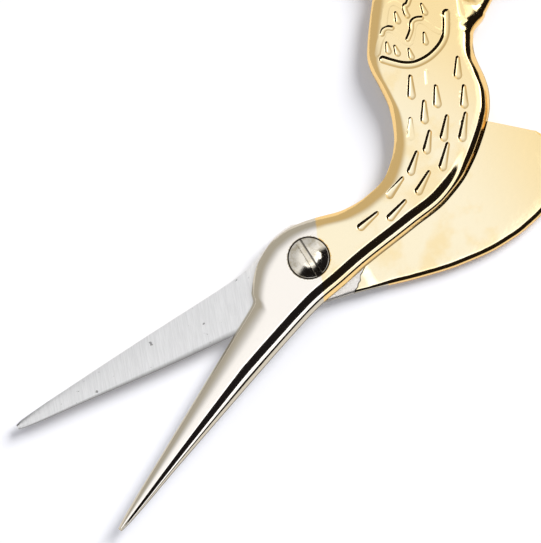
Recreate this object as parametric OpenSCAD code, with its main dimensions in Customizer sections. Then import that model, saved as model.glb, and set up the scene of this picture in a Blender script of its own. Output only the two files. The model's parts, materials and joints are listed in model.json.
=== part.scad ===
// Stork embroidery scissors, in millimetres.
// The pivot axis is Z, the blades point along +X, and the scissors lie on z = 0 with the front half on top.
// Each half is drawn in its own frame: x runs from the pivot to its tip, y to the breast of the stork.

/* [Pose] */
// Angle between the two blades
open_angle = 25; // [0:1:60]

/* [Blades] */
// Pivot to the tip of the front blade
blade_length = 38.7; // [30:0.1:48]
// How much further the rear blade reaches
rear_tip_extra = 0.7; // [0:0.1:1.5]
// Width that the blade outlines are drawn to
blade_width = 5.4; // [4.4:0.1:6.6]
// Thickness of a blade near its tip
tip_thickness = 0.75; // [0.5:0.05:1.2]
// Thickness left along the cutting edges
edge_land = 0.12; // [0.06:0.01:0.3]
// Depth of the hollow grind inside each blade
hollow_grind = 0.08; // [0.02:0.01:0.2]

/* [Body] */
// Pivot to the root of the finger bows
body_length = 32; // [26:0.5:39]
// Height of the breast over the pivot
breast_height = 9.7; // [8:0.1:11.8]
// Edge of the head over the pivot, on the breast side
head_top = 5.3; // [4.6:0.1:6.4]
// The same on the rear half, which shows a little past the front half
rear_head_top = 5.7; // [5:0.1:6.6]
// Edge of the head under the pivot, on the nape side
head_bottom = 4.4; // [3.8:0.1:5]
// Thickness of each half at the pivot, which is also half the thickness of the bows
half_thickness = 1.7; // [1.4:0.05:2.1]
// Width of the rounded flank along the breast
breast_flank = 2.1; // [1.2:0.1:2.6]
// Width of the rounded flank along the nape
nape_flank = 1; // [0.6:0.1:1.3]
// Depth of the relief behind the ground pivot area
body_relief = 0.12; // [0.04:0.01:0.25]
// Width and depth of the rolled edge along the breast, on the inner face
rolled_edge = 0.5; // [0.2:0.05:0.6]

/* [Finger bows] */
// Root of the bows to their far end
bow_length = 22; // [18:0.5:27]
// Width of one bow, from the centre line out
bow_width = 24.9; // [20.5:0.1:30]
// Width of the wire of a bow
bow_wire = 2.8; // [2.2:0.1:3.4]
// Width of the thigh where it leaves the body
thigh_width = 4.2; // [3.4:0.1:5]
// Width of the knee on the stork's leg
knee_width = 3.5; // [3:0.1:4]
// Where the legs meet, beside the pivot line
leg_line = 0.55; // [0.3:0.05:0.8]
// Gap left between the closed legs
leg_gap = 0.2; // [0.1:0.05:0.5]

/* [Pivot screw] */
// Diameter of the screw head
head_d = 4.8; // [4:0.1:5.8]
// Rise of the dome over the rim of the head
head_dome = 0.7; // [0.4:0.05:1]
// Thickness of the rim of the head
head_rim = 0.6; // [0.5:0.05:0.9]
// Depth of the seat that the head sits in
head_seat = 0.45; // [0.3:0.05:0.6]
// Diameter of the shoulder that the front half turns on
shoulder_d = 3.2; // [2.6:0.1:3.6]
// Diameter of the end that is held in the rear half
end_d = 2.4; // [1.8:0.1:2.5]
// Width of the screwdriver slot
slot_w = 0.7; // [0.5:0.05:1]
// Depth of the screwdriver slot
slot_depth = 0.6; // [0.3:0.05:0.8]
// Direction of the slot, from the centre line
slot_turn = 80; // [0:5:180]

/* [Clearances] */
// Gap between the ground faces of the two halves
face_gap = 0.06; // [0.04:0.01:0.12]
// Play between the shoulder and its hole, on the radius
turn_play = 0.03; // [0.02:0.01:0.08]
// Play between the screw's end and its hole, on the radius
end_play = 0.01; // [0.01:0.01:0.03]
// Play between the head's rim and its seat, on the radius
head_play = 0.1; // [0.05:0.05:0.2]
// Play under the head
lift_play = 0.02; // [0.01:0.01:0.05]

/* [Hidden] */
gold = [0.86, 0.72, 0.47];
steel = [0.78, 0.77, 0.74];
blade_steps = 38;
body_steps = 44;
flank_steps = 4;
hollow_steps = 4;
roll_steps = 2;
// Reach of the plate into the bow, as a part of the body's length
plate_reach = 1.04;
// Part of the thickness that the plate loses as it runs into the bow
root_dip = 0.3;
// Height of the rolled edge, as a part of its width
roll_rise = 0.8;
bow_steps = 64;
bow_sides = 12;
half_turn = open_angle / 2;
plate_top = half_thickness - face_gap / 2;
seat_z = 2 * half_thickness - head_seat;
rear_blade_length = blade_length + rear_tip_extra;
bow_root = -body_length - bow_wire / 4;

// Knots in percent, scaled to a length along x and a width along y.
function scaled(knots, along, across) = [for (k = knots) [k[0] * along, k[1] * across] / 100];

// Front half, breast side and nape side, from the tip back to the root of the bow
front_spine = [[100, 5], [96, 10], [75, 25], [50, 44], [25, 64], [11, 78]];
front_breast = [
    [-9, 62], [-31, 84], [-46, 98], [-55, 100], [-63, 97], [-73, 89], [-81, 79], [-84, 73], [-88, 62],
    [-91, 49], [-94, 32], [-97, 19], [-102, 12], [-106, 9]
];
front_edge = [[100, -5], [96, -9], [77, -18], [52, -29], [31, -38], [21, -43], [18.5, -59], [9, -85], [4, -87]];
front_nape = [
    [-4, -41], [-8, -34], [-13, -22], [-22, 2], [-30, 14], [-39, 20], [-46, 15], [-52, 6], [-57, -7],
    [-62, -25], [-66, -48], [-69, -67], [-72, -79], [-76, -88], [-84, -103], [-91, -115], [-96, -126],
    [-100, -143], [-106, -168]
];
front_high = concat(scaled(front_spine, blade_length, blade_width), [[0, head_top]],
    scaled(front_breast, body_length, breast_height));
front_low = concat(scaled(front_edge, blade_length, blade_width), [[0, -head_bottom]],
    scaled(front_nape, body_length, breast_height));

// Rear half, breast side and nape side: its cutting edge is on the breast side
rear_edge = [[100, 4], [98, 8], [77, 27], [51, 50], [31, 64], [14, 79]];
rear_breast = [
    [-9, 66], [-31, 88], [-47, 100], [-62, 105], [-70, 104], [-79, 99], [-88, 92], [-94, 92], [-98, 100],
    [-102, 118], [-106, 132]
];
rear_spine = [[100, -6], [98, -10], [77, -21], [51, -31], [26, -39], [18, -45], [10, -64], [5, -77]];
rear_nape = [
    [-4, -39], [-8, -31], [-13, -16], [-23, 7], [-31, 19], [-39, 21], [-47, 18], [-54, 8], [-58, -2],
    [-62, -17], [-67, -46], [-69.5, -58], [-72, -61], [-75, -54], [-82, -33], [-89, -12.5], [-95, 5],
    [-99, 15], [-106, 20]
];
rear_high = concat(scaled(rear_edge, rear_blade_length, blade_width), [[0, rear_head_top]],
    scaled(rear_breast, body_length, breast_height));
rear_low = concat(scaled(rear_spine, rear_blade_length, blade_width), [[0, -head_bottom]],
    scaled(rear_nape, body_length, breast_height));

// Course of a bow from the knee round by the foot to the wing. Each knot holds the percent of the bow's length
// back from its root, the percent of its width that the wire stays clear of the leg line, and the wire's width.
leg = bow_wire;
bow_knots = [
    [24, 0.1, leg], [40, 0.2, leg], [49, 0.2, knee_width], [58, 0.3, leg], [76, 0.1, leg], [88, 2.2, leg],
    [95, 10.4, leg], [96, 28.4, leg], [89, 55.4, leg], [73, 77.4, leg], [49, 88.8, leg], [27, 83.4, leg],
    [11, 67, leg * 1.1], [4, 49, leg * 1.25], [2, 31, leg * 1.3], [1, 15, leg * 1.3]
];
// The front half's thigh leaves the body across the leg line, so the rear half's starts further back and out.
front_thigh = [0, -2.2];
rear_thigh = [5, 4.2];

// Slope of a curve through knots that never overshoots them
function chord(k, i) = (k[i + 1][1] - k[i][1]) / (k[i + 1][0] - k[i][0]);
function slope(k, i) =
    i == 0 ? chord(k, 0) :
    i == len(k) - 1 ? chord(k, i - 1) :
    chord(k, i - 1) * chord(k, i) <= 0 ? 0 :
    2 * chord(k, i - 1) * chord(k, i) / (chord(k, i - 1) + chord(k, i));

// Height of that curve at x, for knots with falling x
function span_of(k, x) = min(len(k) - 2, max(0, len([for (p = k) if (p[0] >= x) 1]) - 1));
function cubic(u, a, b, ta, tb) =
    a * (1 + 2 * u) * (1 - u) ^ 2 + b * u ^ 2 * (3 - 2 * u) + ta * u * (1 - u) ^ 2 - tb * u ^ 2 * (1 - u);
function curve_at(k, x) =
    let (i = span_of(k, x), w = k[i + 1][0] - k[i][0])
    cubic((x - k[i][0]) / w, k[i][1], k[i + 1][1], slope(k, i) * w, slope(k, i + 1) * w);

// Soft step from 0 at a to 1 at b
function ease(x, a, b) = let (u = min(1, max(0, (x - a) / (b - a)))) u * u * (3 - 2 * u);
function mix(a, b, u) = a + (b - a) * u;

// Shape of a section at x: blade values are reached at the heel of the blade, body values behind the pivot
heel_x = 0.2 * blade_length;
function bladeness(x) = ease(x, -0.1 * body_length, heel_x);
function root_fade(x) = 1 - root_dip * ease(-x, 0.94 * body_length, 1.01 * body_length);
function thickness(x) = mix(plate_top, tip_thickness, max(0, (x - heel_x) / (blade_length - heel_x)));
function flank_high(x, w, spine_high) =
    mix(min(breast_flank * mix(1, 0.6, ease(-x, 0.6 * body_length, 0.85 * body_length)), 0.4 * w),
        (spine_high ? 0.45 : 0.4) * w, bladeness(x));
function flank_low(x, w, spine_high) = mix(min(nape_flank, 0.4 * w), (spine_high ? 0.4 : 0.45) * w, bladeness(x));
function land(x, cuts) = mix(0.4, cuts ? edge_land / thickness(x) : 0.4, ease(x, 0.8 * heel_x, 1.15 * heel_x));
function roll(x) = max(0.02, rolled_edge * (1 - bladeness(x)));
function inner_z(x, t) =
    body_relief * ease(x, -0.13 * body_length, -0.18 * body_length)
    + hollow_grind * ease(x, 0.15 * blade_length, 0.3 * blade_length) * (1 - (2 * t - 1) ^ 2);

// Rounded flank with a low bead along it: percent in from the outline, percent of the rise to the face
flank_form = [[0, 0], [5, 18], [14, 34], [26, 45], [38, 53], [50, 66], [64, 81], [80, 93], [100, 100]];

// One closed section, [y, z] from the nape side along the inner face, over the rolled edge and back outside
function section(x, low, high, spine_high) =
    let (
        a = curve_at(low, x), b = curve_at(high, x), w = b - a, top = thickness(x) * root_fade(x),
        fl = flank_low(x, w, spine_high), fh = flank_high(x, w, spine_high),
        el = land(x, spine_high), eh = land(x, !spine_high), r = roll(x)
    )
    concat(
        [for (i = [0 : hollow_steps]) let (t = i / hollow_steps) [mix(a, b - r, t), inner_z(x, t)]],
        [for (i = [1 : roll_steps]) let (q = 90 * i / roll_steps)
            [b - r * (1 - sin(q)), inner_z(x, 1) + roll_rise * r * (1 - cos(q))]],
        [for (k = flank_form) [b - fh * k[0] / 100, top * mix(eh, 1, k[1] / 100)]],
        [for (i = [flank_steps : -1 : 0]) let (q = 90 * i / flank_steps)
            [a + fl * (1 - cos(q)), top * mix(el, 1, sin(q))]]
    );

// Closed skin over a list of rings; joined is true where the last ring meets the first
module skin(rings, joined = false) {
    n = len(rings[0]);
    m = len(rings);
    points = [for (r = rings, p = r) p];
    last = joined ? m - 1 : m - 2;
    sides = [for (i = [0 : last], j = [0 : n - 1])
        let (a = i * n + j, b = i * n + (j + 1) % n, c = ((i + 1) % m) * n + (j + 1) % n, d = ((i + 1) % m) * n + j)
        each [[a, c, b], [a, d, c]]];
    ends = joined ? [] : [[for (j = [0 : n - 1]) j], [for (j = [n - 1 : -1 : 0]) (m - 1) * n + j]];
    polyhedron(points, concat(sides, ends));
}

// Blade and body of one half, its inner face looking down on z = face_gap / 2
module plate(low, high, tip_x, spine_high) {
    back_x = -body_length * plate_reach;
    xs = concat(
        [for (i = [0 : body_steps - 1]) back_x * (1 - i / body_steps)],
        [for (i = [0 : blade_steps]) tip_x * i / blade_steps]
    );
    skin([for (x = xs) [for (p = section(x, low, high, spine_high)) [x, p[0], p[1] + face_gap / 2]]]);
}

// Point on a closed curve through knots, u counted in knots
function knot_at(k, i) = k[(i + len(k)) % len(k)];
function loop_at(k, u) =
    let (i = floor(u), f = u - i, a = knot_at(k, i - 1), b = knot_at(k, i), c = knot_at(k, i + 1), d = knot_at(k, i + 2))
    (2 * b + (c - a) * f + (2 * a - 5 * b + 4 * c - d) * f ^ 2 + (3 * b - a - 3 * c + d) * f ^ 3) / 2;

// Bow of one half: an oval wire that is as thick as both halves; side is -1 below the leg line and 1 above
module bow(side, thigh) {
    legs_on = bow_knots[0];
    root = [thigh[0], thigh[1], thigh_width];
    start = [root, mix(root, legs_on, 0.5)];
    knots = [for (k = concat(start, bow_knots)) [
        bow_root - k[0] * (bow_length - bow_wire / 4) / 100,
        leg_line + side * (leg_gap / 2 + k[1] * bow_width / 100 + k[2] / 2),
        k[2]
    ]];
    count = len(knots);
    rings = [for (i = [0 : bow_steps - 1])
        let (
            u = i * count / bow_steps, p = loop_at(knots, u),
            t = loop_at(knots, u + 0.02) - loop_at(knots, u - 0.02), s = norm([t[0], t[1]]),
            out = [-t[1], t[0]] / s
        )
        [for (j = [0 : bow_sides - 1]) let (q = 360 * j / bow_sides)
            [p[0] + out[0] * cos(q) * p[2] / 2, p[1] + out[1] * cos(q) * p[2] / 2, half_thickness * sin(q)]]
    ];
    skin(rings, true);
}

// Plate and bow as one skin, which is exactly as thick as the bow
module forging() {
    resize([0, 0, 2 * half_thickness]) union() children();
}

module front_half() {
    color(gold)
    rotate([0, 0, half_turn])
    translate([0, 0, half_thickness])
    difference() {
        forging() {
            plate(front_low, front_high, blade_length, true);
            bow(-1, front_thigh);
        }
        translate([0, 0, -half_thickness])
            cylinder(d = shoulder_d + 2 * turn_play, h = 3 * half_thickness, $fn = 64);
        translate([0, 0, seat_z - half_thickness])
            cylinder(d = head_d + 2 * head_play, h = half_thickness, $fn = 64);
    }
}

module rear_half() {
    color(steel)
    rotate([0, 0, -half_turn])
    translate([0, 0, half_thickness])
    mirror([0, 0, 1])
    difference() {
        forging() {
            plate(rear_low, rear_high, rear_blade_length, false);
            bow(1, rear_thigh);
        }
        translate([0, 0, -half_thickness])
            cylinder(d = end_d + 2 * end_play, h = 3 * half_thickness, $fn = 64);
    }
}

module pivot_screw() {
    inner_face = half_thickness - face_gap / 2;
    under_head = seat_z + lift_play;
    rim_top = under_head + head_rim;
    dome_r = (head_d ^ 2 / 4 + head_dome ^ 2) / (2 * head_dome);
    color(gold)
    difference() {
        union() {
            cylinder(d = end_d, h = inner_face, $fn = 64);
            translate([0, 0, inner_face]) cylinder(d = shoulder_d, h = under_head - inner_face, $fn = 64);
            translate([0, 0, under_head]) cylinder(d = head_d, h = head_rim, $fn = 64);
            intersection() {
                translate([0, 0, rim_top + head_dome - dome_r]) sphere(r = dome_r, $fn = 96);
                translate([0, 0, rim_top]) cylinder(d = head_d, h = 2 * head_dome, $fn = 64);
            }
        }
        rotate([0, 0, slot_turn])
            translate([-head_d, -slot_w / 2, rim_top + head_dome - slot_depth]) cube([2 * head_d, slot_w, head_d]);
    }
}

front_half();
rear_half();
pivot_screw();
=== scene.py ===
"""Stork embroidery scissors: two plated forgings and a pivot screw, in a plain white studio."""

import json
import math

import bmesh
import bpy
import numpy as np
from bpy.props import FloatProperty, FloatVectorProperty, PointerProperty
from mathutils import Matrix, Vector, kdtree


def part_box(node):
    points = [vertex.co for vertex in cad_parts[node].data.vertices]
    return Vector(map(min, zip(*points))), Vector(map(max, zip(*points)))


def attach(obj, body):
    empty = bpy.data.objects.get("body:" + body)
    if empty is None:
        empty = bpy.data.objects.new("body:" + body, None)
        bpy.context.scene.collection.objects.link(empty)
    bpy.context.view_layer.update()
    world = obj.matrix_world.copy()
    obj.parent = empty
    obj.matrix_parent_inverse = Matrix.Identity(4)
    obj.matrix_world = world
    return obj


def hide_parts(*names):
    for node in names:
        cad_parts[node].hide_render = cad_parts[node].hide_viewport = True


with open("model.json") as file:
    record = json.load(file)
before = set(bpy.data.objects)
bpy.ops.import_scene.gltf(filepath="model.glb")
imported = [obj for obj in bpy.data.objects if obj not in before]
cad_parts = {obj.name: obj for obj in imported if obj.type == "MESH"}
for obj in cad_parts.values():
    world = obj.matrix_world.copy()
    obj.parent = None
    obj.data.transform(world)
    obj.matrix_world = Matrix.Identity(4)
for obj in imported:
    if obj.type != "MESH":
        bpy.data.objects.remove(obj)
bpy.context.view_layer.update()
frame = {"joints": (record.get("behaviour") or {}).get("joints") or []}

bl_info = {
    "name": "Stork Embroidery Scissors",
    "version": (1, 0, 0),
    "blender": (4, 5, 0),
    "location": "View3D > Sidebar > Scissors",
    "description": "Builds gold and nickel plated stork scissors in a white studio",
    "category": "Object",
}

MM = 0.001

# What the frame says, in millimetres: a bow is as thick as both halves together, and the screw's
# head is the widest thing on the pivot. The blades close by twice HALF_TURN.
HALF_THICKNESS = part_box("rear_half")[1].z / MM / 2
HEAD_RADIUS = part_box("pivot_screw")[1].x / MM
HEAD_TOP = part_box("pivot_screw")[1].z / MM
HALF_TURN = -math.radians(frame["joints"][0]["range_deg"][0]) / 2

# Fits on the pivot, in millimetres: the radii of the screw's end and shoulder, the play round them
# and round the head, the seat's height over the middle plane, and the height of the head's dome and
# of its upright edge
SCREW_END = 1.2
SHOULDER = 1.6
END_PLAY = 0.01
SHOULDER_PLAY = 0.03
HEAD_PLAY = 0.1
SEAT = 1.25
DOME = 0.7
HEAD_EDGE = 0.6
BORE_DEPTH = 3

# Depths of the inner face's relief behind the pivot and of the blade's hollow grind, the upright
# land of the honed edge, and the width of the nape's flank, in millimetres
RELIEF = 0.12
HOLLOW = 0.08
HONED_LAND = 0.12
NAPE_FLANK = 2.4

# Outlines of the two halves. x is in percent of the blade's or body's length, y of BLADE_WIDTH or
# BREAST_HEIGHT. They run from the tip over the pivot to the root of the bow, on the breast side
# (high) and the nape side (low). The tops and the bottom of the heads are in millimetres.
BLADE_WIDTH = 5.4
BREAST_HEIGHT = 9.7
FRONT_SPINE = [(100, 5), (96, 10), (75, 25), (50, 44), (25, 64), (11, 78)]
FRONT_BREAST = [
    (-9, 62), (-31, 84), (-46, 98), (-55, 100), (-63, 97), (-73, 89), (-81, 79), (-84, 73),
    (-88, 62), (-91, 49), (-94, 32), (-97, 18.5), (-102, 10.5), (-106, 6), (-112, 1),
]
FRONT_EDGE = [
    (100, -5), (96, -9), (77, -18), (52, -29), (31, -38), (21, -43), (18.5, -59), (9, -85),
    (4, -87),
]
FRONT_NAPE = [
    (-4, -41), (-8, -34), (-13, -22), (-22, 2), (-30, 14), (-39, 20), (-46, 15), (-52, 6),
    (-57, -7), (-62, -25), (-66, -48), (-69, -67), (-72, -79), (-76, -88), (-84, -103), (-91, -115),
    (-96, -126), (-100, -143), (-106, -168), (-112, -185),
]
REAR_EDGE = [(100, 4), (98, 8), (77, 27), (51, 50), (31, 64), (14, 79)]
REAR_BREAST = [
    (-9, 66), (-31, 88), (-47, 100), (-62, 105), (-70, 104), (-79, 99), (-88, 92), (-94, 92),
    (-98, 100), (-102, 118), (-106, 132),
]
REAR_SPINE = [(100, -6), (98, -10), (77, -21), (51, -31), (26, -39), (18, -45), (10, -64), (5, -77)]
REAR_NAPE = [
    (-4, -39), (-8, -31), (-13, -16), (-23, 7), (-31, 19), (-39, 21), (-47, 18), (-54, 8),
    (-58, -2), (-62, -17), (-67, -46), (-69.5, -58), (-72, -61), (-75, -54), (-82, -33),
    (-89, -12.5), (-95, 5), (-99, 15), (-106, 20),
]
FRONT_HEAD_TOP = 5.3
REAR_HEAD_TOP = 5.7
HEAD_BOTTOM = -4.4

# Course of a bow: percent of its length back from the root, percent of its width clear of the leg
# line, and the width of the wire in millimetres. The leg line stands LEG_LINE off the centre line,
# with half of LEG_GAP between it and each bow's wire. BOW_FLATNESS is the power that flattens the
# wire's section, and THIGH_WIDTH its width at the root.
WIRE = 2.8
KNEE = 3.5
BOW_KNOTS = [
    (24, 0.1, WIRE), (40, 0.2, WIRE), (49, 0.2, KNEE), (58, 0.3, WIRE), (76, 0.1, WIRE),
    (88, 2.2, WIRE), (95, 10.4, WIRE), (96, 28.4, WIRE), (89, 55.4, WIRE), (73, 77.4, WIRE),
    (49, 88.8, WIRE), (27, 83.4, WIRE), (11, 67, WIRE * 1.1), (4, 49, WIRE * 1.25),
    (2, 31, WIRE * 1.3), (1, 15, WIRE * 1.3),
]
BOW_FLATNESS = 0.76
LEG_LINE = 0.55
LEG_GAP = 0.2
THIGH_WIDTH = 4.2

# Feather marks pressed into the neck, in millimetres from the pivot: sharp end, deepest place of
# the round end, and the part of the full depth that each is pressed to.
FEATHERS = [
    ((-8.74, 3.59), (-6.42, 2.98), 1), ((-11.76, 5.49), (-9.31, 5.15), 1),
    ((-13.76, 3.72), (-11.42, 3.55), 1), ((-16.13, 5.87), (-13.71, 6.03), 1),
    ((-17.22, 3.41), (-15.06, 3.95), 1), ((-20.1, 5.8), (-17.6, 6.68), 1),
    ((-20.08, 3.25), (-18.15, 4.04), 1), ((-20.05, 0.56), (-18.37, 1.6), 0.45),
    ((-22.7, 3.9), (-20.5, 4.82), 1), ((-22.6, 0.74), (-20.87, 1.83), 1),
    ((-24.2, 5.5), (-21.7, 6.62), 1), ((-24.85, 0.83), (-23.25, 1.99), 1),
    ((-26.72, 3.52), (-25.0, 4.59), 1), ((-29.04, 1.03), (-27.38, 2.02), 1),
    ((-24.1, -2.26), (-22.35, -1.05), 1), ((-25.68, -1.08), (-24.69, -0.14), 0.25),
    ((-34.8, -2.9), (-32.3, -0.5), 0.2),
]
# Smaller drops inside the wing
WING_DROPS = [
    ((-31.77, -5.99), (-31.17, -5.2)), ((-29.24, -7.91), (-28.56, -7.22)),
    ((-29.17, -3.81), (-28.38, -3.18)), ((-25.74, -6.75), (-25.03, -6.14)),
    ((-25.97, -5.77), (-25.43, -5.12)), ((-26.62, -4.2), (-26.02, -3.55)),
]
# Line round the wing, then the deep ends of the rows of plumes, and the shallow folds along them
WING_LINE = [
    (-32.6, -3.15), (-31.26, -2.2), (-30.32, -1.7), (-29.17, -1.5), (-27.78, -1.66),
    (-26.65, -2.06), (-25.51, -2.79), (-24.75, -3.79), (-24.26, -4.96), (-23.9, -6.1),
]
PLUME_CUTS = [
    [(-30.36, -5.14), (-29.94, -5.61), (-29.41, -5.75), (-28.78, -5.37), (-28.18, -5.15),
     (-27.5, -5.02)],
    [(-27.45, -7.3), (-27.19, -7.76), (-26.74, -7.95), (-26.3, -7.8)],
    [(-31.6, -7.6), (-30.79, -7.4), (-30.44, -7.54), (-29.93, -7.0), (-29.75, -6.62)],
]
PLUME_FOLDS = [
    [(-27.27, -4.47), (-28.21, -4.73), (-29.04, -5.18), (-29.69, -5.25), (-30.04, -4.92),
     (-30.14, -4.23), (-30.09, -3.31), (-30.2, -2.5)],
    [(-26.17, -7.68), (-26.81, -7.68), (-27.13, -7.21), (-27.14, -6.46), (-26.99, -5.59),
     (-27.0, -4.84), (-27.27, -4.47)],
    [(-27.46, -8.19), (-28.86, -8.91), (-29.55, -9.01), (-29.98, -8.67), (-30.07, -7.98),
     (-30.16, -7.41)],
    [(-24.19, -6.88), (-25.37, -7.38), (-26.37, -7.57)],
]

# Two points of the border between gold and nickel plate, in a half's own frame, and the direction
# of the grinding lines on its inner face
PLATING_LINE = ((-4.24, -2.03), (2.75, 4.02))
GRAIN_TURN = math.radians(20.4)

# A place counts as the outer face from this height over the middle plane on
OUTER_FACE = 0.6 * HALF_THICKNESS


def ease(x, a, b):
    """Soft step: 0 at a, 1 at b, with the cubic 3u^2 - 2u^3 between them."""
    u = np.clip((x - a) / (b - a), 0, 1)
    return u * u * (3 - 2 * u)


def mix(a, b, u):
    """Straight blend from a to b as u goes from 0 to 1."""
    return a + (b - a) * u


def curve_at(knots, x):
    """Height at x of a smooth curve through knots of falling x.

    Each span is a cubic Hermite. The slope at a knot is the harmonic mean of the two chords beside
    it, and 0 where they change sign, so the curve never overshoots its knots.
    """
    k = np.array(knots, float)
    chord = np.diff(k[:, 1]) / np.diff(k[:, 0])
    before, after = chord[:-1], chord[1:]
    same = before * after > 0
    middle = np.where(same, 2 * before * after / np.where(same, before + after, 1), 0)
    slope = np.concatenate([chord[:1], middle, chord[-1:]])
    i = np.clip(np.searchsorted(-k[:, 0], -x, side="right") - 1, 0, len(k) - 2)
    w = k[i + 1, 0] - k[i, 0]
    u = (x - k[i, 0]) / w
    start = k[i, 1] * (1 + 2 * u) * (1 - u) ** 2 + slope[i] * w * u * (1 - u) ** 2
    end = k[i + 1, 1] * u ** 2 * (3 - 2 * u) - slope[i + 1] * w * u ** 2 * (1 - u)
    return start + end


def steps(start, end, count):
    """Evenly spaced values from start up to but not including end."""
    return np.linspace(start, end, count, endpoint=False)


def catmull_rom(a, b, c, d, f):
    """Place a share f of the way from b to c, on the cubic that takes its slopes from a and d."""
    cubed = (3 * b - a - 3 * c + d) * f ** 3
    return (2 * b + (c - a) * f + (2 * a - 5 * b + 4 * c - d) * f ** 2 + cubed) / 2


def half_gap(sizes):
    """Half of the gap between the inner faces, in millimetres."""
    return sizes.face_gap / MM / 2


def scaled(knots, along, across):
    """Knots in percent turned into millimetres."""
    return [(x * along / 100, y * across / 100) for x, y in knots]


def stroke(x, y, a, b, steep, gentle):
    """Bowl along the straight line a to b: 1 - (d/s)^2 with the distance d from it, and 0 outside.

    The reach s is steep on the right of the line, seen from a to b, and gentle on its left. Each is
    a pair of millimetres, at a and at b.
    """
    dx, dy = b[0] - a[0], b[1] - a[1]
    long = math.hypot(dx, dy)
    u = np.clip(((x - a[0]) * dx + (y - a[1]) * dy) / long ** 2, 0, 1)
    distance = np.hypot(x - a[0] - u * dx, y - a[1] - u * dy)
    side = (dx * (y - a[1]) - dy * (x - a[0])) / (long * np.maximum(distance, 1e-6))
    reach = mix(mix(*steep, u), mix(*gentle, u), ease(side, -0.6, 0.6))
    return np.maximum(0, 1 - (distance / reach) ** 2)


def line_stroke(x, y, knots, steep, gentle):
    """Bowl along a smooth line through knots, which is a Catmull-Rom curve in straight pieces."""
    k = np.array([knots[0], *knots, knots[-1]], float)
    f = steps(0, 1, 4)[:, None]
    spans = zip(k, k[1:], k[2:], k[3:])
    line = [place for span in spans for place in catmull_rom(*span, f)] + [k[-1]]
    reach = (steep, steep), (gentle, gentle)
    return np.max([stroke(x, y, start, end, *reach) for start, end in zip(line, line[1:])], axis=0)


class Half:
    """One forging in its own frame: x from pivot to tip, y to the breast, z out of its face.

    outline holds the breast side and the nape side, each with its blade, its body and its height at
    the pivot. spine_high says that the blade's blunt spine is on the breast side. side is the bow's
    side of the leg line, thigh the middle of its wire at the root, turn the half's turn at rest,
    and up 1 where its outer face is up.
    """

    def __init__(self, sizes, name, outline, tip, spine_high, side, thigh, turn, up):
        body = sizes.body_length / MM
        self.sizes = sizes
        self.name = name
        self.body = body
        self.blade = sizes.blade_length / MM
        self.tip = tip
        self.high, self.low = (
            scaled(blade, tip, BLADE_WIDTH) + [(0, head)] + scaled(neck, body, BREAST_HEIGHT)
            for blade, neck, head in outline
        )
        self.spine_high = spine_high
        self.side = side
        # The plate runs on inside the bow, to this share of the body's length.
        self.reach = 1.11 if up > 0 else 1.04
        self.thigh = thigh
        self.turn = turn
        self.up = up

    def bladeness(self, x):
        """0 behind the pivot, 1 from the heel of the blade on."""
        return ease(x, -0.1 * self.body, 0.2 * self.blade)

    def top(self, x):
        """Height of the outer face: level to the heel, falling to the tip, dipping at the bow."""
        heel = 0.2 * self.blade
        plate = HALF_THICKNESS - half_gap(self.sizes)
        fall = np.maximum(0, (x - heel) / (self.blade - heel))
        dip = 1 - 0.03 * ease(-x, 0.9 * self.body, 1.01 * self.body)
        return mix(plate, self.sizes.tip_thickness / MM, fall) * dip

    def inner(self, x, t):
        """Height of the inner face: a relief behind the pivot, a hollow grind along the blade."""
        relief = RELIEF * ease(x, -0.13 * self.body, -0.18 * self.body)
        along = ease(x, 0.15 * self.blade, 0.3 * self.blade)
        return relief + HOLLOW * along * (1 - (2 * t - 1) ** 2)

    def flanks(self, x, width, lean):
        """Widths of the rounded flanks on the nape side and on the breast side, across the half.

        lean is how much longer a step across the half is than one square to the breast outline.
        """
        wide = mix(1, 0.85, ease(-x, 0.6 * self.body, 0.85 * self.body)) * lean
        low = np.minimum(NAPE_FLANK, 0.46 * width)
        high = np.minimum(self.sizes.breast_flank / MM * wide, 0.45 * width)
        return low, high

    def land(self, x, cuts):
        """Upright share of the edge: 0.4 of the thickness, or HONED_LAND where the blade cuts."""
        blunt = 0.4
        honed = HONED_LAND / self.top(x) if cuts else blunt
        return mix(blunt, honed, ease(x, 0.16 * self.blade, 0.23 * self.blade))


def breast_flank(u, x, high, width, lean):
    """Rise of the breast flank, 0 to 1, as u goes from the outline to the face.

    A steep straight bevel rounds off to a narrow level ledge, and a soft S leads from there to the
    face. Up the neck the bevel takes nearly all of the rise and its corner grows softer.
    """
    neck = ease(-x, 15, 21)
    size = np.minimum(1, width / 4.5) * lean
    straight = mix(0.4, 0.14, neck) * size
    corner = mix(0.34, 1.15, neck) * size
    ledge = mix(0.836, 1.144, neck) * size
    share = mix(0.68, 0.98, neck)
    d = u * high
    full = straight + corner / 2
    past = np.clip(d - straight, 0, corner)
    bevel = (np.minimum(d, straight) + past - past ** 2 / (2 * corner)) / full
    return share * bevel + (1 - share) * ease(d, ledge, high + 0.001)


def nape_flank(u, x, cuts):
    """Rise of the nape flank, 0 to 1: 1 - (1 - u)^2.5.

    Where the blade cuts it is a honed edge, which takes the first 0.08 of the width, and then a
    parabola.
    """
    honed = ease(x, 5, 9) if cuts else 0
    wide = 0.08
    rest = np.maximum(0, u - wide) / (1 - wide)
    plain = 1 - (1 - u) ** 2.5
    sharpened = 0.45 * np.minimum(1, u / wide) + 0.55 * (1 - (1 - rest) ** 2)
    return mix(plain, sharpened, honed)


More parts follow.
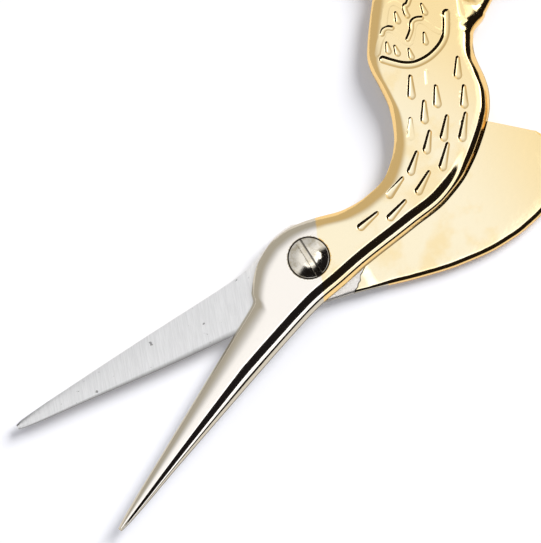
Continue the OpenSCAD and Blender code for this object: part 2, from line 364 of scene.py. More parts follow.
def neck_relief(x, y, sizes):
    """How deep the feather marks, the line round the wing and its plumes lie under the face."""
    depth = sizes.feather_depth / MM
    width = sizes.feather_width / MM
    sunk = np.zeros_like(x)
    for tip, end, part in FEATHERS:
        low = ease(tip[0], -19, -10)
        steep, gentle = mix(0.44, 0.52, low), width * mix(0.62, 0.46, low)
        sunk = np.maximum(sunk, depth * part * stroke(x, y, tip, end, (0.32, steep), (0.2, gentle)))
    for tip, end in WING_DROPS:
        drop = stroke(x, y, tip, end, (0.26, 0.34), (0.16, 0.46 * width))
        sunk = np.maximum(sunk, 0.8 * depth * drop)
    groove = sizes.groove_depth / MM
    sunk = np.maximum(sunk, groove * line_stroke(x, y, WING_LINE, 0.46, 0.46))
    for line in PLUME_CUTS:
        sunk = np.maximum(sunk, 0.8 * groove * line_stroke(x, y, line, 0.36, 0.32))
    folds = np.max([line_stroke(x, y, line, 0.24, 0.5) for line in PLUME_FOLDS], axis=0)
    return np.maximum(sunk, 0.25 * groove * folds)


def plate_grid(half):
    """Blade and body of one half as a grid: station along the half, and place round its section.

    Every section is a closed line: along the inner face from nape to breast, over a rolled edge, up
    the breast flank, back over the outer face, and down the nape flank.
    """
    head_end, heel = -3, 7.5
    x = np.concatenate([
        steps(-half.reach * half.body, head_end, 150),
        steps(head_end, heel, 60),
        np.linspace(heel, half.tip, 90),
    ])[:, None]
    a, b = curve_at(half.low, x), curve_at(half.high, x)
    width = b - a
    lean = np.minimum(1.7, np.hypot(1, np.gradient(b[:, 0], x[:, 0])))[:, None]
    low, high = half.flanks(x, width, lean)
    top = half.top(x)
    wider_below = 0.35 * ease(-x, 4, 8) if half.up < 0 else 0
    roll = np.maximum(0.02, 0.5 * (1 - half.bladeness(x))) + wider_below
    low_land, high_land = half.land(x, half.spine_high), half.land(x, not half.spine_high)

    t = np.concatenate([[0, 0.006, 0.03], np.linspace(0.12, 1, 8)])[None, :]
    inner = (mix(a, b - roll, t), half.inner(x, t))
    q = np.linspace(0, math.pi / 2, 8)[None, 1:]
    edge = (b - roll * (1 - np.sin(q)), half.inner(x, 1) + 0.8 * roll * (1 - np.cos(q)))
    u = np.linspace(0, 1, 40)[None, :-1] ** 1.15
    breast = (b - high * u, top * mix(high_land, 1, breast_flank(u, x, high, width, lean)))
    v = np.linspace(0, 1, 44)[None, :]
    face_y = mix(b - high, a + low, v)
    face = (face_y, top + 0 * face_y)
    u = np.linspace(1, 0, 18)[None, 1:]
    nape = (a + low * u, top * mix(low_land, 1, nape_flank(u, x, half.spine_high)))

    y = np.concatenate([part[0] for part in (inner, edge, breast, face, nape)], axis=1)
    z = np.concatenate([part[1] for part in (inner, edge, breast, face, nape)], axis=1)
    return np.stack([x + 0 * y, y, z + half_gap(half.sizes)], axis=2)


def knot_at(knots, u):
    """Point on the closed Catmull-Rom curve through the knots, with u counted in knots."""
    k = np.array(knots, float)
    i = np.floor(u).astype(int)
    f = (u - i)[:, None]
    return catmull_rom(*(k[(i + n) % len(k)] for n in (-1, 0, 1, 2)), f)


def bow_grid(half):
    """Finger bow of one half: an oval ring carried round the closed curve through its knots.

    The ring's half width in the plane is half the wire's width, and its half height is
    HALF_THICKNESS, so the bow is as thick as both halves together. Its section is a superellipse:
    cosine and sine are raised to the power BOW_FLATNESS.
    """
    sizes = half.sizes
    length, width = sizes.bow_length / MM, sizes.bow_width / MM
    root = (half.thigh[0], half.thigh[1], THIGH_WIDTH)
    between = tuple(mix(r, k, 0.5) for r, k in zip(root, BOW_KNOTS[0]))
    back = -half.body - WIRE / 4
    knots = [
        (back - k[0] * (length - WIRE / 4) / 100,
         LEG_LINE + half.side * (LEG_GAP / 2 + k[1] * width / 100 + k[2] / 2), k[2])
        for k in [root, between] + BOW_KNOTS
    ]
    u = steps(0, len(knots), 420)
    p = knot_at(knots, u)
    t = (knot_at(knots, u + 0.02) - knot_at(knots, u - 0.02))[:, :2]
    t /= np.linalg.norm(t, axis=1)[:, None]
    q = steps(0, 2 * math.pi, 40)[None, :]
    out, up = (np.sign(wave) * np.abs(wave) ** BOW_FLATNESS for wave in (np.cos(q), np.sin(q)))
    swell = out * p[:, 2:3] / 2
    x = p[:, 0:1] - t[:, 1:2] * swell
    y = p[:, 1:2] + t[:, 0:1] * swell
    return np.stack([x, y, HALF_THICKNESS * up + 0 * x], axis=2)


def grid_mesh(name, grid, joined):
    """Closed mesh over a grid of rings: the last joined to the first, or a cap at both ends."""
    rings, around, _ = grid.shape
    last = rings if joined else rings - 1
    i, j = np.meshgrid(np.arange(last), np.arange(around), indexing="ij")
    i2, j2 = (i + 1) % rings, (j + 1) % around
    quads = np.stack([i * around + j, i * around + j2, i2 * around + j2, i2 * around + j], axis=2)
    faces = quads.reshape(-1, 4).tolist()
    if not joined:
        faces.append(list(range(around)))
        faces.append([(rings - 1) * around + j for j in range(around)][::-1])
    mesh = bpy.data.meshes.new(name)
    mesh.from_pydata((grid.reshape(-1, 3) * MM).tolist(), [], faces)
    shell = bmesh.new()
    shell.from_mesh(mesh)
    bmesh.ops.remove_doubles(shell, verts=shell.verts, dist=0.0001 * MM)
    bmesh.ops.recalc_face_normals(shell, faces=shell.faces)
    shell.to_mesh(mesh)
    shell.free()
    return mesh


def add_object(name, mesh):
    """Puts a mesh in the scene as an object at the origin."""
    piece = bpy.data.objects.new(name, mesh)
    bpy.context.scene.collection.objects.link(piece)
    return piece


def boolean(piece, tool_mesh, operation):
    """Joins the tool to the piece, or cuts it out, and drops the tool."""
    tool = add_object("tool", tool_mesh)
    step = piece.modifiers.new("step", "BOOLEAN")
    step.operation = operation
    step.solver = "MANIFOLD"
    step.object = tool
    graph = bpy.context.evaluated_depsgraph_get()
    result = bpy.data.meshes.new_from_object(piece.evaluated_get(graph))
    piece.modifiers.clear()
    result.materials.clear()
    piece.data = result
    bpy.data.objects.remove(tool)


def turned_mesh(name, profile, around=128):
    """Closed solid turned about Z, from a (radius, height) profile with both ends on the axis."""
    q = steps(0, 2 * math.pi, around)[None, :]
    r = np.array([p[0] for p in profile])[:, None]
    z = np.array([p[1] for p in profile])[:, None] + 0 * q
    grid = np.stack([r * np.cos(q), r * np.sin(q), z], axis=2)
    return grid_mesh(name, grid, joined=False)


def coordinates(mesh):
    """Places of a mesh's vertices in millimetres, one in a row."""
    co = np.empty(len(mesh.vertices) * 3)
    mesh.vertices.foreach_get("co", co)
    return co.reshape(-1, 3) / MM


def soften_root(piece, shells, start, reach=2.6, passes=120):
    """Rounds the corner where the bow runs into the plate.

    Only the join makes vertices that neither shell had, and they lie along that corner, behind
    start. Vertices near one move towards the mean of their neighbours, by a share that falls from a
    half to nothing over reach.
    """
    same_place = 0.0005
    known = kdtree.KDTree(len(shells))
    for i, place in enumerate(shells):
        known.insert(place, i)
    known.balance()
    co = coordinates(piece.data)
    back = np.flatnonzero(co[:, 0] < start)
    corner = [co[i] for i in back if known.find(co[i])[2] > same_place]
    tree = kdtree.KDTree(len(corner))
    for i, place in enumerate(corner):
        tree.insert(place, i)
    tree.balance()
    share = np.zeros(len(co))
    for i in back:
        share[i] = 0.5 * (1 - ease(tree.find(co[i])[2], 0.25 * reach, reach))
    edges = np.empty(len(piece.data.edges) * 2, int)
    piece.data.edges.foreach_get("vertices", edges)
    a, b = edges.reshape(-1, 2).T
    degree = np.bincount(a, minlength=len(co)) + np.bincount(b, minlength=len(co))
    for _ in range(passes):
        total = np.stack([
            np.bincount(a, co[b, n], len(co)) + np.bincount(b, co[a, n], len(co)) for n in range(3)
        ], axis=1)
        co += (total / degree[:, None] - co) * share[:, None]
    piece.data.vertices.foreach_set("co", (co * MM).ravel())
    piece.data.update()


def press_marks(piece, sizes):
    """Splits the faces round the marks until they are fine, then sinks the marks into them."""
    shell = bmesh.new()
    shell.from_mesh(piece.data)
    shallowest = 0.004
    for finest in (((0.2, 0.12, 0.07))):
        near = set()
        co = np.array([v.co for v in shell.verts]) / MM
        marked = neck_relief(co[:, 0], co[:, 1], sizes) > shallowest
        for vertex, found in zip(shell.verts, marked & (co[:, 2] > OUTER_FACE)):
            if found:
                near.update(vertex.link_faces)
        edges = {edge for face in near for edge in face.edges if edge.calc_length() > finest * MM}
        bmesh.ops.subdivide_edges(shell, edges=list(edges), cuts=1, use_grid_fill=True)
    bmesh.ops.triangulate(shell, faces=[face for face in shell.faces if len(face.verts) > 4])
    shell.normal_update()
    co = np.array([v.co for v in shell.verts]) / MM
    rise = np.array([v.normal.z for v in shell.verts])
    reach = ease(rise, 0.6, 0.95) * (co[:, 2] > OUTER_FACE)
    sunk = neck_relief(co[:, 0], co[:, 1], sizes) * reach
    for vertex, deep in zip(shell.verts, sunk):
        vertex.co.z -= deep * MM
    shell.to_mesh(piece.data)
    shell.free()


def finish_half(piece, half, bore):
    """Cuts the bore, marks the surfaces for the plating, and turns the half to its place.

    The marks are ground, 1 on the inner face, rise, how far the surface faces up or down, and the
    painted contact shadow, 1 along the foot of the breast flank and wider where it hangs over the
    rear half.
    """
    boolean(piece, turned_mesh("bore", bore), "DIFFERENCE")
    mesh = piece.data
    co = coordinates(mesh)
    normals = np.empty(len(co) * 3)
    mesh.vertices.foreach_get("normal", normals)
    facing = normals.reshape(-1, 3)[:, 2]
    plate = ease(co[:, 0], -half.body, -0.97 * half.body)
    inner = 1 - ease(co[:, 2] - half_gap(half.sizes), 0.16, 0.26)
    ground = inner * plate * ease(-facing, 0.4, 0.8)
    # Painted contact shadow: dark along the foot of the breast flank, wider where it hangs over the
    # rear half
    outline = curve_at(half.high, co[:, 0]) - co[:, 1]
    over_rear = ease(-co[:, 0], 0, 3) * ease(co[:, 0], -24, -20) if half.up > 0 else 0
    wide = mix(0.12, 0.3, over_rear)
    rim = (1 - ease(np.abs(outline), 0.4 * wide, wide)) * plate * ease(np.abs(facing), 0.1, 0.3)
    if half.up < 0:
        rim *= ease(co[:, 0], -7, -5)
    for name, values in (("ground", ground), ("rise", np.abs(facing)), ("rim", rim)):
        layer = mesh.attributes.new(name, "FLOAT", "POINT")
        layer.data.foreach_set("value", values.astype(np.float32))
    z = HALF_THICKNESS + half.up * co[:, 2]
    c, s = math.cos(half.turn), math.sin(half.turn)
    place = np.stack([c * co[:, 0] - s * co[:, 1], s * co[:, 0] + c * co[:, 1], z], axis=1)
    mesh.vertices.foreach_set("co", (place * MM).ravel())
    if half.up < 0:
        mesh.flip_normals()
    mesh.update()
    mesh.shade_smooth()
    mesh.set_sharp_from_angle(angle=math.radians(32))


def forge(half, bore, marked):
    """One half: its plate and bow joined, rounded where they meet, marked, bored and turned."""
    plate, bow = plate_grid(half), bow_grid(half)
    piece = add_object(half.name, grid_mesh(half.name, plate, joined=False))
    boolean(piece, grid_mesh("bow", bow, joined=True), "UNION")
    soften_root(piece, np.concatenate([plate.reshape(-1, 3), bow.reshape(-1, 3)]), -0.9 * half.body)
    if marked:
        press_marks(piece, half.sizes)
    finish_half(piece, half, bore)
    return piece


class Shader:
    """Short calls that fill the node tree of a material or of the world."""

    def __init__(self, tree):
        self.tree = tree
        tree.nodes.clear()

    def put(self, socket, value):
        """Links a socket to another node's output, or sets it to a constant."""
        if isinstance(value, bpy.types.NodeSocket):
            self.tree.links.new(value, socket)
        else:
            socket.default_value = value

    def add(self, kind, inputs=None, **settings):
        """A node of a kind with its settings, and its inputs by name or number."""
        node = self.tree.nodes.new(kind)
        for name, value in settings.items():
            setattr(node, name, value)
        for name, value in (inputs or {}).items():
            self.put(node.inputs[name], value)
        return node

    def math(self, operation, a, b=0.0):
        """Result of one sum on two values."""
        return self.add("ShaderNodeMath", {0: a, 1: b}, operation=operation).outputs[0]

    def times(self, first, *others):
        """Product of values."""
        for other in others:
            first = self.math("MULTIPLY", first, other)
        return first

    def axes(self, vector):
        """The three parts of a vector."""
        return self.add("ShaderNodeSeparateXYZ", {0: vector}).outputs

    def step(self, value, a, b):
        """Soft step of a value: 0 at a, 1 at b, which may be the lower of the two."""
        node = self.add("ShaderNodeMapRange", {"Value": value, "From Min": a, "From Max": b},
                        interpolation_type="SMOOTHSTEP")
        return node.outputs["Result"]

    def blend(self, a, b, share):
        """Colour that goes from a to b with share."""
        node = self.add("ShaderNodeMix", data_type="RGBA")
        self.put(node.inputs["Factor"], share)
        self.put(node.inputs[6], a)
        self.put(node.inputs[7], b)
        return node.outputs[2]

    def noise(self, vector, scale, detail=2.0, roughness=0.5):
        """Noise from 0 to 1 with a scale in waves per unit of the vector."""
        node = self.add("ShaderNodeTexNoise", {"Vector": vector, "Scale": scale, "Detail": detail,
                                               "Roughness": roughness})
        return node.outputs["Fac"]

    def bump(self, height, strength, depth, normal=None):
        """Normal bent by a height, with the depth in millimetres, on top of another normal."""
        inputs = {"Height": height, "Strength": strength, "Distance": depth * MM}
        if normal:
            inputs["Normal"] = normal
        return self.add("ShaderNodeBump", inputs).outputs[0]

    def attribute(self, name):
        """A value stored on the piece's vertices."""
        return self.add("ShaderNodeAttribute", attribute_name=name).outputs["Fac"]

    def place(self, turn=0.0, scale=(1, 1, 1)):
        """Object coordinates in millimetres, turned into a piece's own frame and stretched."""
        coords = self.add("ShaderNodeTexCoord").outputs["Object"]
        turned = self.add("ShaderNodeMapping", {"Vector": coords, "Rotation": (0, 0, turn)})
        return self.add("ShaderNodeMapping", {"Vector": turned.outputs[0],
                                              "Scale": tuple(s / MM for s in scale)}).outputs[0]


def rgba(colour):
    """Colour of a property with full cover."""
    return (*colour, 1.0)


def empty_material(name):
    """A new material, and the calls that fill it."""
    material = bpy.data.materials.new(name)
    material.use_nodes = True
    return material, Shader(material.node_tree)


def metal_surface(s, colour, rough, normal):
    """Ends a material with a metal surface."""
    surface = s.add("ShaderNodeBsdfPrincipled", {
        "Base Color": colour, "Metallic": 1.0, "Roughness": rough, "Normal": normal,
    })
    s.add("ShaderNodeOutputMaterial", {"Surface": surface.outputs[0]})


def across(s, x, y, line):
    """Distance of a place from a straight line through two points, positive on the line's right."""
    (x0, y0), (x1, y1) = line
    along = math.hypot(x1 - x0, y1 - y0)
    return s.math("ADD", s.times(s.math("SUBTRACT", x, x0), (y1 - y0) / along),
                  s.times(s.math("SUBTRACT", y, y0), (x0 - x1) / along))


def seam_shade(s, inner, outer):
    """1 in the seam round the screw's head, between two distances from the pivot, and else 0."""
    x, y, _ = s.axes(s.place())
    radius = s.math("SQRT", s.math("ADD", s.times(x, x), s.times(y, y)))
    inside = s.step(radius, outer + 0.05, outer - 0.02)
    return s.times(s.step(radius, inner - 0.05, inner + 0.02), inside)


def plating(name, half, finish, rolled_back):
    """Gold on the body and bow, nickel on the blade, brushed steel on the ground inner face.

    Along the rolled edges the nickel reaches back to rolled_back millimetres behind the pivot. The
    ground steel ends on the bent line x = 1.23 max(y - 4.1, -1.5) - 5.3, with a dark line of
    painted shade there. Sloping faces take darker colours as painted shade. Painted shade also lies
    in the seam round the screw's head, and a painted contact shadow along the foot of the breast
    flank.
    """
    material, s = empty_material(name)
    local = s.place(-half.turn)
    x, y, _ = s.axes(local)
    ground, rise = s.attribute("ground"), s.attribute("rise")
    bright, dark_nickel, grime = rgba(finish.nickel), rgba(finish.nickel_shade_and_wear), rgba(finish.grime)

    # The two platings, either side of a slightly uneven border
    cloud = s.noise(local, 0.22, 3.0, 0.55)
    uneven = s.times(s.math("SUBTRACT", s.noise(local, 3.0, 3.0), 0.5), 0.3)
    offset = s.math("ADD", across(s, x, y, PLATING_LINE), uneven)
    rolled = s.times(s.step(x, -rolled_back - 0.1, -rolled_back + 0.1), s.step(rise, 0.95, 0.8))
    nickel_share = s.math("MAXIMUM", s.step(offset, -0.12, 0.12), rolled)
    deep = s.math("MAXIMUM", s.times(s.step(cloud, 0.44, 0.68), 0.65), s.step(x, -17.0, -33.0))
    gold = s.blend(rgba(finish.gold_face), rgba(finish.gold_deep), deep)
    # Sloping faces get the darker gold: painted shade
    gold = s.blend(rgba(finish.gold_slope_shade), gold, s.step(rise, 0.89, 0.995))
    # Sloping faces get the darker nickel: painted shade
    nickel = s.blend(dark_nickel, bright, s.step(rise, 0.84, 0.985))
    plated = s.blend(gold, nickel, nickel_share)

    # Fine wear on the nickel beside the border
    scratch = s.step(s.noise(s.place(-half.turn, (0.5, 5.0, 1.0)), 1.0, 3.0, 0.7), 0.52, 0.66)
    worn = s.times(s.step(offset, -0.2, 0.9), s.step(offset, 2.2, 0.9), scratch, 0.3)
    plated = s.blend(plated, dark_nickel, worn)

    # Ground steel with its grain, its specks and its border
    streak = s.noise(s.place(-half.turn + GRAIN_TURN, (9.0, 0.4, 1.0)), 1.0, 4.0, 0.7)
    bend = s.times(s.math("MAXIMUM", s.math("SUBTRACT", y, 4.1), -1.5), 1.23)
    waves = s.times(s.math("SUBTRACT", s.noise(local, 0.9, 1.0), 0.5), 1.6)
    border = s.math("SUBTRACT", s.math("ADD", x, waves), s.math("SUBTRACT", bend, 5.3))
    bare = s.times(ground, s.step(border, -0.1, 0.1))
    steel = s.blend(rgba(finish.steel_dark), rgba(finish.steel), s.step(streak, 0.3, 0.7))
    steel = s.blend(steel, bright, s.times(s.step(x, 8.0, 3.0), 0.8))
    specks = s.step(s.noise(local, 1.6, 1.0), 0.74, 0.78)
    steel = s.blend(steel, grime, s.times(specks, 0.6))

    # Painted shade on the ground border and in the seam round the screw, and the painted contact
    # shadow along the foot of the breast flank
    border_line = s.times(s.step(s.math("ABSOLUTE", border), 0.16, 0.06), ground, 0.9)
    seam = seam_shade(s, HEAD_RADIUS - 0.2, HEAD_RADIUS + HEAD_PLAY)
    seam = s.times(seam, s.math("SUBTRACT", 1.0, ground))
    colour = s.blend(plated, steel, bare)
    for painted_shade in (border_line, seam, s.times(s.attribute("rim"), 0.7)):
        colour = s.blend(colour, grime, painted_shade)

    smooth = s.math("ADD", s.times(cloud, 0.05), finish.polish)
    rough = s.add("ShaderNodeMix", {0: bare, 2: smooth, 3: finish.grind}, data_type="FLOAT")
    swell = s.bump(s.noise(local, 1.3, 2.0), 0.2, 0.05)
    metal_surface(s, colour, rough.outputs[0], s.bump(streak, bare, 0.01, swell))
    return material


def screw_steel(sizes, finish):
    """Polished nickel with a cast of grey, painted shade round its rim and along one side of its
    slot, and fine marks in its slot.
    """
    material, s = empty_material("screw_nickel")
    local = s.place()
    dark_nickel, grime = rgba(finish.nickel_shade_and_wear), rgba(finish.grime)
    marks = s.noise(local, 1.3, 4.0, 0.6)
    colour = s.blend(dark_nickel, rgba(finish.screw), s.step(marks, 0.3, 0.6))

    # The slot's file marks, and painted shade along one of its sides
    half_slot = sizes.slot_width / MM / 2
    _, across_slot, _ = s.axes(s.place(-sizes.slot_turn))
    inside = s.step(s.math("ABSOLUTE", across_slot), half_slot, half_slot - 0.04)
    file_marks = s.noise(s.place(-sizes.slot_turn, (0.5, 12.0, 1.0)), 1.0, 3.0, 0.7)
    colour = s.blend(colour, dark_nickel, s.times(inside, s.step(file_marks, 0.4, 0.7)))
    side = s.times(s.step(across_slot, half_slot - 0.22, half_slot - 0.1),
                   s.step(across_slot, half_slot + 0.1, half_slot + 0.03), 0.75)
    colour = s.blend(colour, grime, side)

    _, _, height = s.axes(local)
    seat = HALF_THICKNESS + SEAT
    over_seat = s.step(height, seat - 0.05, seat + 0.05)
    # Painted shade round the head's edge, over the seat
    seam = seam_shade(s, HEAD_RADIUS - 0.06, HEAD_RADIUS + 1)
    colour = s.blend(colour, grime, s.times(seam, over_seat))
    rough = s.math("ADD", s.times(marks, 0.12), finish.polish)
    metal_surface(s, colour, rough, s.bump(marks, 0.3, 0.05))
    return material


def number(name, description, value, **kind):
    """A number that the sidebar shows."""
    return FloatProperty(name=name, description=description, default=value, **kind)


def length_property(name, description, size):
    """A length, given in millimetres."""
    return number(name, description, size * MM, unit="LENGTH")


def swatch(name, description, colour):
    """A colour that the sidebar shows as a swatch."""
    return FloatVectorProperty(name=name, description=description, default=colour, subtype="COLOR",
                               min=0.0, max=1.0)


class ScissorSizes(bpy.types.PropertyGroup):
    """Sizes of the scissors that a maker would change."""

    blade_length: length_property("Blade length", "Pivot to the front tip", 38.7)
    rear_tip_extra: length_property("Rear tip extra", "How much longer the rear blade is", 0.7)
    body_length: length_property("Body length", "Pivot to the root of the bows", 32)
    tip_thickness: length_property("Tip thickness", "Thickness of a blade near its tip", 0.75)
    face_gap: length_property("Face gap", "Gap between the inner faces", 0.06)
    breast_flank: length_property("Breast flank", "Width of the rounded breast flank", 2.1)
    bow_length: length_property("Bow length", "Root of the bows to their far end", 22)
    bow_width: length_property("Bow width", "Width of one bow", 24.9)
    feather_width: length_property("Feather width", "Width of a mark at its round end", 1.0)
    feather_depth: length_property("Feather depth", "Depth of the feather marks", 0.15)
    groove_depth: length_property("Wing groove", "Depth of the line round the wing", 0.16)
    slot_width: length_property("Slot width", "Width of the screwdriver slot", 0.7)
    slot_depth: length_property("Slot depth", "Depth of the screwdriver slot", 0.6)
    slot_turn: number("Slot direction", "Turn of the slot", math.radians(80), subtype="ANGLE")


class ScissorFinish(bpy.types.PropertyGroup):
    """Colours and polish of the platings."""

    gold_face: swatch("Gold face", "Gold plate on the flat faces", (0.985, 0.88, 0.64))
    # Darker gold for the sloping faces: painted shade
    gold_slope_shade: swatch("Gold edge", "Gold plate on the rounded edges", (0.94, 0.64, 0.26))
    gold_deep: swatch("Gold cloud", "Where the gold plate is deeper", (0.95, 0.74, 0.38))
    nickel: swatch("Nickel", "Nickel plate on the blade", (0.97, 0.92, 0.86))
    # Darker nickel: painted shade on the sloping faces, and the colour of wear marks and of the
    # screw's tool marks
    nickel_shade_and_wear: swatch("Nickel edge", "Nickel on the rounded edges", (0.64, 0.57, 0.44))
    steel: swatch("Ground steel", "Bright lines of the ground face", (0.88, 0.88, 0.885))
    steel_dark: swatch("Ground shade", "Dark lines of that face", (0.77, 0.77, 0.775))
    screw: swatch("Screw", "Nickel plate on the screw", (0.86, 0.81, 0.72))
    # Near black: painted shade in the seams, on the ground border and in the slot, a painted
    # contact shadow, and real specks on the ground face
    grime: swatch("Grime", "Oil in the seams", (0.02, 0.014, 0.01))
    polish: number("Polish", "Roughness of the plated faces", 0.07)
    grind: number("Grind", "Roughness of the ground faces", 0.42)


class StudioSettings(bpy.types.PropertyGroup):
    """View and light of the studio."""

    view_width: length_property("View width", "Width that the picture shows", 63.03)
    lens: number("Lens", "Focal length in millimetres", 250.0)
    roll: number("Roll", "Turn of the camera", math.atan2(0.6788, -0.7344), subtype="ANGLE")
    key: number("Key light", "Light from the upper right", 3.9)
    fill: number("Fill light", "Light from the upper left", 0.3)
    sky: number("Sky", "Even light from the sky", 0.28)


def both_halves(sizes):
    """The two halves' shapes, front first."""
    blade = sizes.blade_length / MM
    front = Half(
        sizes, "front_forging",
        ((FRONT_SPINE, FRONT_BREAST, FRONT_HEAD_TOP), (FRONT_EDGE, FRONT_NAPE, HEAD_BOTTOM)),
        tip=blade, spine_high=True, side=-1, thigh=(0, -2.2), turn=HALF_TURN, up=1,
    )
    rear = Half(
        sizes, "rear_forging",
        ((REAR_EDGE, REAR_BREAST, REAR_HEAD_TOP), (REAR_SPINE, REAR_NAPE, HEAD_BOTTOM)),
        tip=blade + sizes.rear_tip_extra / MM, spine_high=False, side=1, thigh=(5, 4.2),
        turn=-HALF_TURN, up=-1,
    )
    return front, rear


def bore_profile(*parts):
    """Section of a stepped bore from below, from each part's radius and upper end."""
    profile, low = [(0, -BORE_DEPTH)], -BORE_DEPTH
    for radius, top in parts:
        profile += [(radius, low), (radius, top)]
        low = top
    return profile + [(0, low)]


def screw_profile(sizes):
    """Section of the screw from its axis: end, shoulder, head with softened corners, and dome.

    The dome falls from the head's top by DOME (r / R)^3 at the distance r from the axis.
    """
    corner = 0.06
    foot = HEAD_TOP - DOME
    under = foot - HEAD_EDGE
    ledge = HALF_THICKNESS - half_gap(sizes)
    r = (HEAD_RADIUS - corner) * (1 - np.linspace(0, 1, 26)[1:])
    height = HEAD_TOP - DOME * (r / HEAD_RADIUS) ** 3
    return [
        (0, 0), (SCREW_END, 0), (SCREW_END, ledge), (SHOULDER, ledge), (SHOULDER, under),
        (HEAD_RADIUS - corner, under), (HEAD_RADIUS, under + corner),
        (HEAD_RADIUS, foot - corner / 2), (HEAD_RADIUS - corner / 2, foot + corner / 2),
        *zip(r.tolist(), height.tolist()),
    ]


def slot_tool(sizes):
    """Box that cuts the screwdriver slot across the head."""
    size = (3 * HEAD_RADIUS * MM, sizes.slot_width, 2 * sizes.slot_depth, 1)
    box = bmesh.new()
    bmesh.ops.create_cube(box, size=1)
    place = Matrix.Translation((0, 0, HEAD_TOP * MM)) @ Matrix.Rotation(sizes.slot_turn, 4, "Z")
    bmesh.ops.transform(box, verts=box.verts, matrix=place @ Matrix.Diagonal(size))
    mesh = bpy.data.meshes.new("slot")
    box.to_mesh(mesh)
    box.free()
    return mesh


class SCISSORS_OT_front_half(bpy.types.Operator):
    """Build the front half: blade, neck, wing and finger bow"""

    bl_idname = "scissors.front_half"
    bl_label = "Front half"

    def execute(self, context):
        scene = context.scene
        half, _ = both_halves(scene.scissor_sizes)
        bore = bore_profile((SHOULDER + SHOULDER_PLAY, SEAT), (HEAD_RADIUS + HEAD_PLAY, BORE_DEPTH))
        piece = forge(half, bore, marked=True)
        material = plating("front_plating", half, scene.scissor_finish, rolled_back=-5)
        piece.data.materials.append(material)
        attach(piece, "front")
        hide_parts("front_half")
        return {"FINISHED"}


class SCISSORS_OT_rear_half(bpy.types.Operator):
    """Build the rear half: the lower forging with its own blade, body and finger bow"""

    bl_idname = "scissors.rear_half"
    bl_label = "Rear half"

    def execute(self, context):
        scene = context.scene
        _, half = both_halves(scene.scissor_sizes)
        piece = forge(half, bore_profile((SCREW_END + END_PLAY, BORE_DEPTH)), marked=False)
        material = plating("rear_plating", half, scene.scissor_finish, rolled_back=6.5)
        piece.data.materials.append(material)
        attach(piece, "rear")
        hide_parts("rear_half")
        return {"FINISHED"}


class SCISSORS_OT_pivot_screw(bpy.types.Operator):
    """Build the pivot screw with its domed, slotted head"""

    bl_idname = "scissors.pivot_screw"
    bl_label = "Pivot screw"

    def execute(self, context):
        scene = context.scene
        sizes = scene.scissor_sizes
        piece = add_object("domed_screw", turned_mesh("domed_screw", screw_profile(sizes)))
        boolean(piece, slot_tool(sizes), "DIFFERENCE")
        bevel = piece.modifiers.new("soft_edges", "BEVEL")
        bevel.width = 0.04 * MM
        bevel.segments = 2
        # A clamped bevel merges corners, and the mesh is no longer closed.
        bevel.use_clamp_overlap = False
        bevel.limit_method = "ANGLE"
        bevel.angle_limit = math.radians(50)
        piece.data.shade_smooth()
        piece.data.set_sharp_from_angle(angle=math.radians(40))
        piece.data.materials.append(screw_steel(sizes, scene.scissor_finish))
        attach(piece, "rear")
        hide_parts("pivot_screw")
        return {"FINISHED"}


def part_direction(u, v):
    """Direction in the part's frame of a step right (u) and down (v) in the picture."""
    roll = bpy.context.scene.studio_settings.roll
    right = Vector((math.cos(roll), math.sin(roll), 0))
    down = Vector((math.sin(roll), -math.cos(roll), 0))
    return (right * u + down * v).normalized()


def upwards(side, height):
    """Direction to a side of the picture at a height in degrees over the floor."""
    angle = math.radians(height)
    return part_direction(*side) * math.cos(angle) + Vector((0, 0, math.sin(angle)))


def sun(name, strength, side, height, spread):
    """Soft light from a side of the picture, at a height over the floor. No metal mirrors it."""
    lamp = bpy.data.lights.new(name, "SUN")
    lamp.energy = strength
    lamp.angle = math.radians(spread)
    holder = bpy.data.objects.new(name, lamp)
    bpy.context.scene.collection.objects.link(holder)
    holder.rotation_euler = upwards(side, height).to_track_quat("Z", "Y").to_euler()
    holder.visible_glossy = False


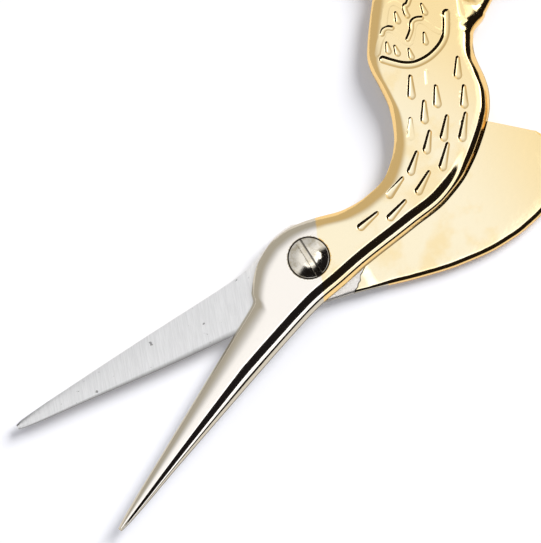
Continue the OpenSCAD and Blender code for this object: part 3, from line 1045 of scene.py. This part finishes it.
def studio_sky(strength):
    """Even sky for the floor, and for the metal a white room.

    Towards the lower right of the picture the room has a dark screen with a bright strip over it,
    towards the upper left a grey wall, and one small lamp to the right. Heights are in degrees over
    the floor.
    """
    world = bpy.data.worlds.new("studio")
    bpy.context.scene.world = world
    world.use_nodes = True
    s = Shader(world.node_tree)
    way = s.add("ShaderNodeTexCoord").outputs["Generated"]
    x, y, z = s.axes(way)
    height = s.times(s.math("ARCSINE", z), 180 / math.pi)
    flat = s.add("ShaderNodeCombineXYZ", {0: x, 1: y}).outputs[0]
    level = s.add("ShaderNodeVectorMath", {0: flat}, operation="NORMALIZE").outputs[0]

    def dot(vector, side):
        """Share of a vector that points to a side."""
        inputs = {0: vector, 1: tuple(side)}
        return s.add("ShaderNodeVectorMath", inputs, operation="DOT_PRODUCT").outputs[1]

    def band(low, low_end, high_start, high):
        """1 between low_end and high_start, fading to 0 at low and high."""
        return s.times(s.step(height, low, low_end), s.step(height, high, high_start))

    dark_side = s.step(dot(level, part_direction(0.72, 0.70)), 0.05, 0.35)
    grey_side = s.step(dot(level, part_direction(-0.8, -0.6)), -0.1, 0.5)
    lamp = dot(way, upwards((0.957, -0.29), 62))
    lamp = s.step(lamp, math.cos(math.radians(10)), math.cos(math.radians(8)))
    room = (1, 1, 1, 1)
    for colour, share in (
        ((0.62, 0.62, 0.62, 1), s.times(grey_side, band(-8, -4, 40, 80))),
        ((1.6, 1.6, 1.6, 1), s.times(dark_side, band(66, 72, 78, 85))),
        ((0.012, 0.01, 0.01, 1), s.times(dark_side, band(3, 8, 67, 73))),
        ((3, 3, 3, 1), lamp),
    ):
        room = s.blend(room, colour, share)
    rays = s.add("ShaderNodeLightPath")
    even = (strength * 0.94, strength * 0.96, strength * 1.1, 1)
    lit = s.blend(even, room, rays.outputs["Is Glossy Ray"])
    lit = s.blend(lit, (1, 1, 1, 1), rays.outputs["Is Camera Ray"])
    back = s.add("ShaderNodeBackground", {"Color": lit, "Strength": 1.0})
    s.add("ShaderNodeOutputWorld", {"Surface": back.outputs[0]})


def floor_white():
    """White floor that keeps the shadows, and shines a little for the camera and the metal."""
    material, s = empty_material("studio_floor")
    lit = s.add("ShaderNodeBsdfDiffuse", {"Color": (0.8, 0.8, 0.82, 1)})
    glow = s.add("ShaderNodeEmission", {"Color": (1, 1, 1, 1), "Strength": 0.15})
    rays = s.add("ShaderNodeLightPath")
    seen = s.math("MAXIMUM", rays.outputs["Is Camera Ray"], rays.outputs["Is Glossy Ray"])
    none = s.add("ShaderNodeEmission", {"Strength": 0.0})
    shine = s.add("ShaderNodeMixShader", {0: seen, 1: none.outputs[0], 2: glow.outputs[0]})
    both = s.add("ShaderNodeAddShader", {0: lit.outputs[0], 1: shine.outputs[0]})
    s.add("ShaderNodeOutputMaterial", {"Surface": both.outputs[0]})
    return material


class SCISSORS_OT_studio(bpy.types.Operator):
    """Lay a white floor, light it softly and set the camera straight above"""

    bl_idname = "scissors.studio"
    bl_label = "Studio"

    def execute(self, context):
        scene = context.scene
        studio = scene.studio_settings
        far = 1.5
        mesh = bpy.data.meshes.new("studio_floor")
        corners = [(-far, -far, 0), (far, -far, 0), (far, far, 0), (-far, far, 0)]
        mesh.from_pydata(corners, [], [(0, 1, 2, 3)])
        floor = add_object("studio_floor", mesh)
        floor.location.z = -0.02 * MM
        mesh.materials.append(floor_white())
        sun("key", studio.key, (0.66, -0.75), 38, 32)
        sun("fill", studio.fill, (-0.6, -0.8), 50, 34)
        studio_sky(studio.sky)
        camera = bpy.data.cameras.new("camera")
        camera.sensor_fit = "HORIZONTAL"
        camera.sensor_width = 36.0
        camera.lens = studio.lens
        camera.clip_start = 0.01
        camera.clip_end = 20.0
        holder = bpy.data.objects.new("camera", camera)
        scene.collection.objects.link(holder)
        distance = studio.view_width * studio.lens / camera.sensor_width
        holder.location = (4.36 * MM, -1.87 * MM, distance + 2 * HALF_THICKNESS * MM)
        holder.rotation_euler = (0, 0, studio.roll)
        scene.camera = holder
        scene.view_settings.view_transform = "Standard"
        return {"FINISHED"}


class SCISSORS_PT_panel(bpy.types.Panel):
    """Sizes, finishes and the steps that build the scissors"""

    bl_label = "Stork Scissors"
    bl_space_type = "VIEW_3D"
    bl_region_type = "UI"
    bl_category = "Scissors"

    def draw(self, context):
        scene = context.scene
        layout = self.layout
        for group in (scene.scissor_sizes, scene.scissor_finish, scene.studio_settings):
            box = layout.box()
            for name in group.__annotations__:
                box.prop(group, name)
        for step in PIECES:
            layout.operator(step.bl_idname)


PIECES = (
    SCISSORS_OT_front_half, SCISSORS_OT_rear_half, SCISSORS_OT_pivot_screw, SCISSORS_OT_studio,
)
CLASSES = (ScissorSizes, ScissorFinish, StudioSettings, *PIECES, SCISSORS_PT_panel)


def register():
    """Adds the panel, the operators and their settings to Blender."""
    for item in CLASSES:
        bpy.utils.register_class(item)
    bpy.types.Scene.scissor_sizes = PointerProperty(type=ScissorSizes)
    bpy.types.Scene.scissor_finish = PointerProperty(type=ScissorFinish)
    bpy.types.Scene.studio_settings = PointerProperty(type=StudioSettings)


def unregister():
    """Takes them away again."""
    del bpy.types.Scene.studio_settings
    del bpy.types.Scene.scissor_finish
    del bpy.types.Scene.scissor_sizes
    for item in reversed(CLASSES):
        bpy.utils.unregister_class(item)


def main():
    """Builds everything in order."""
    register()
    for step in PIECES:
        group, name = step.bl_idname.split(".")
        getattr(getattr(bpy.ops, group), name)()


if __name__ == "__main__":
    main()
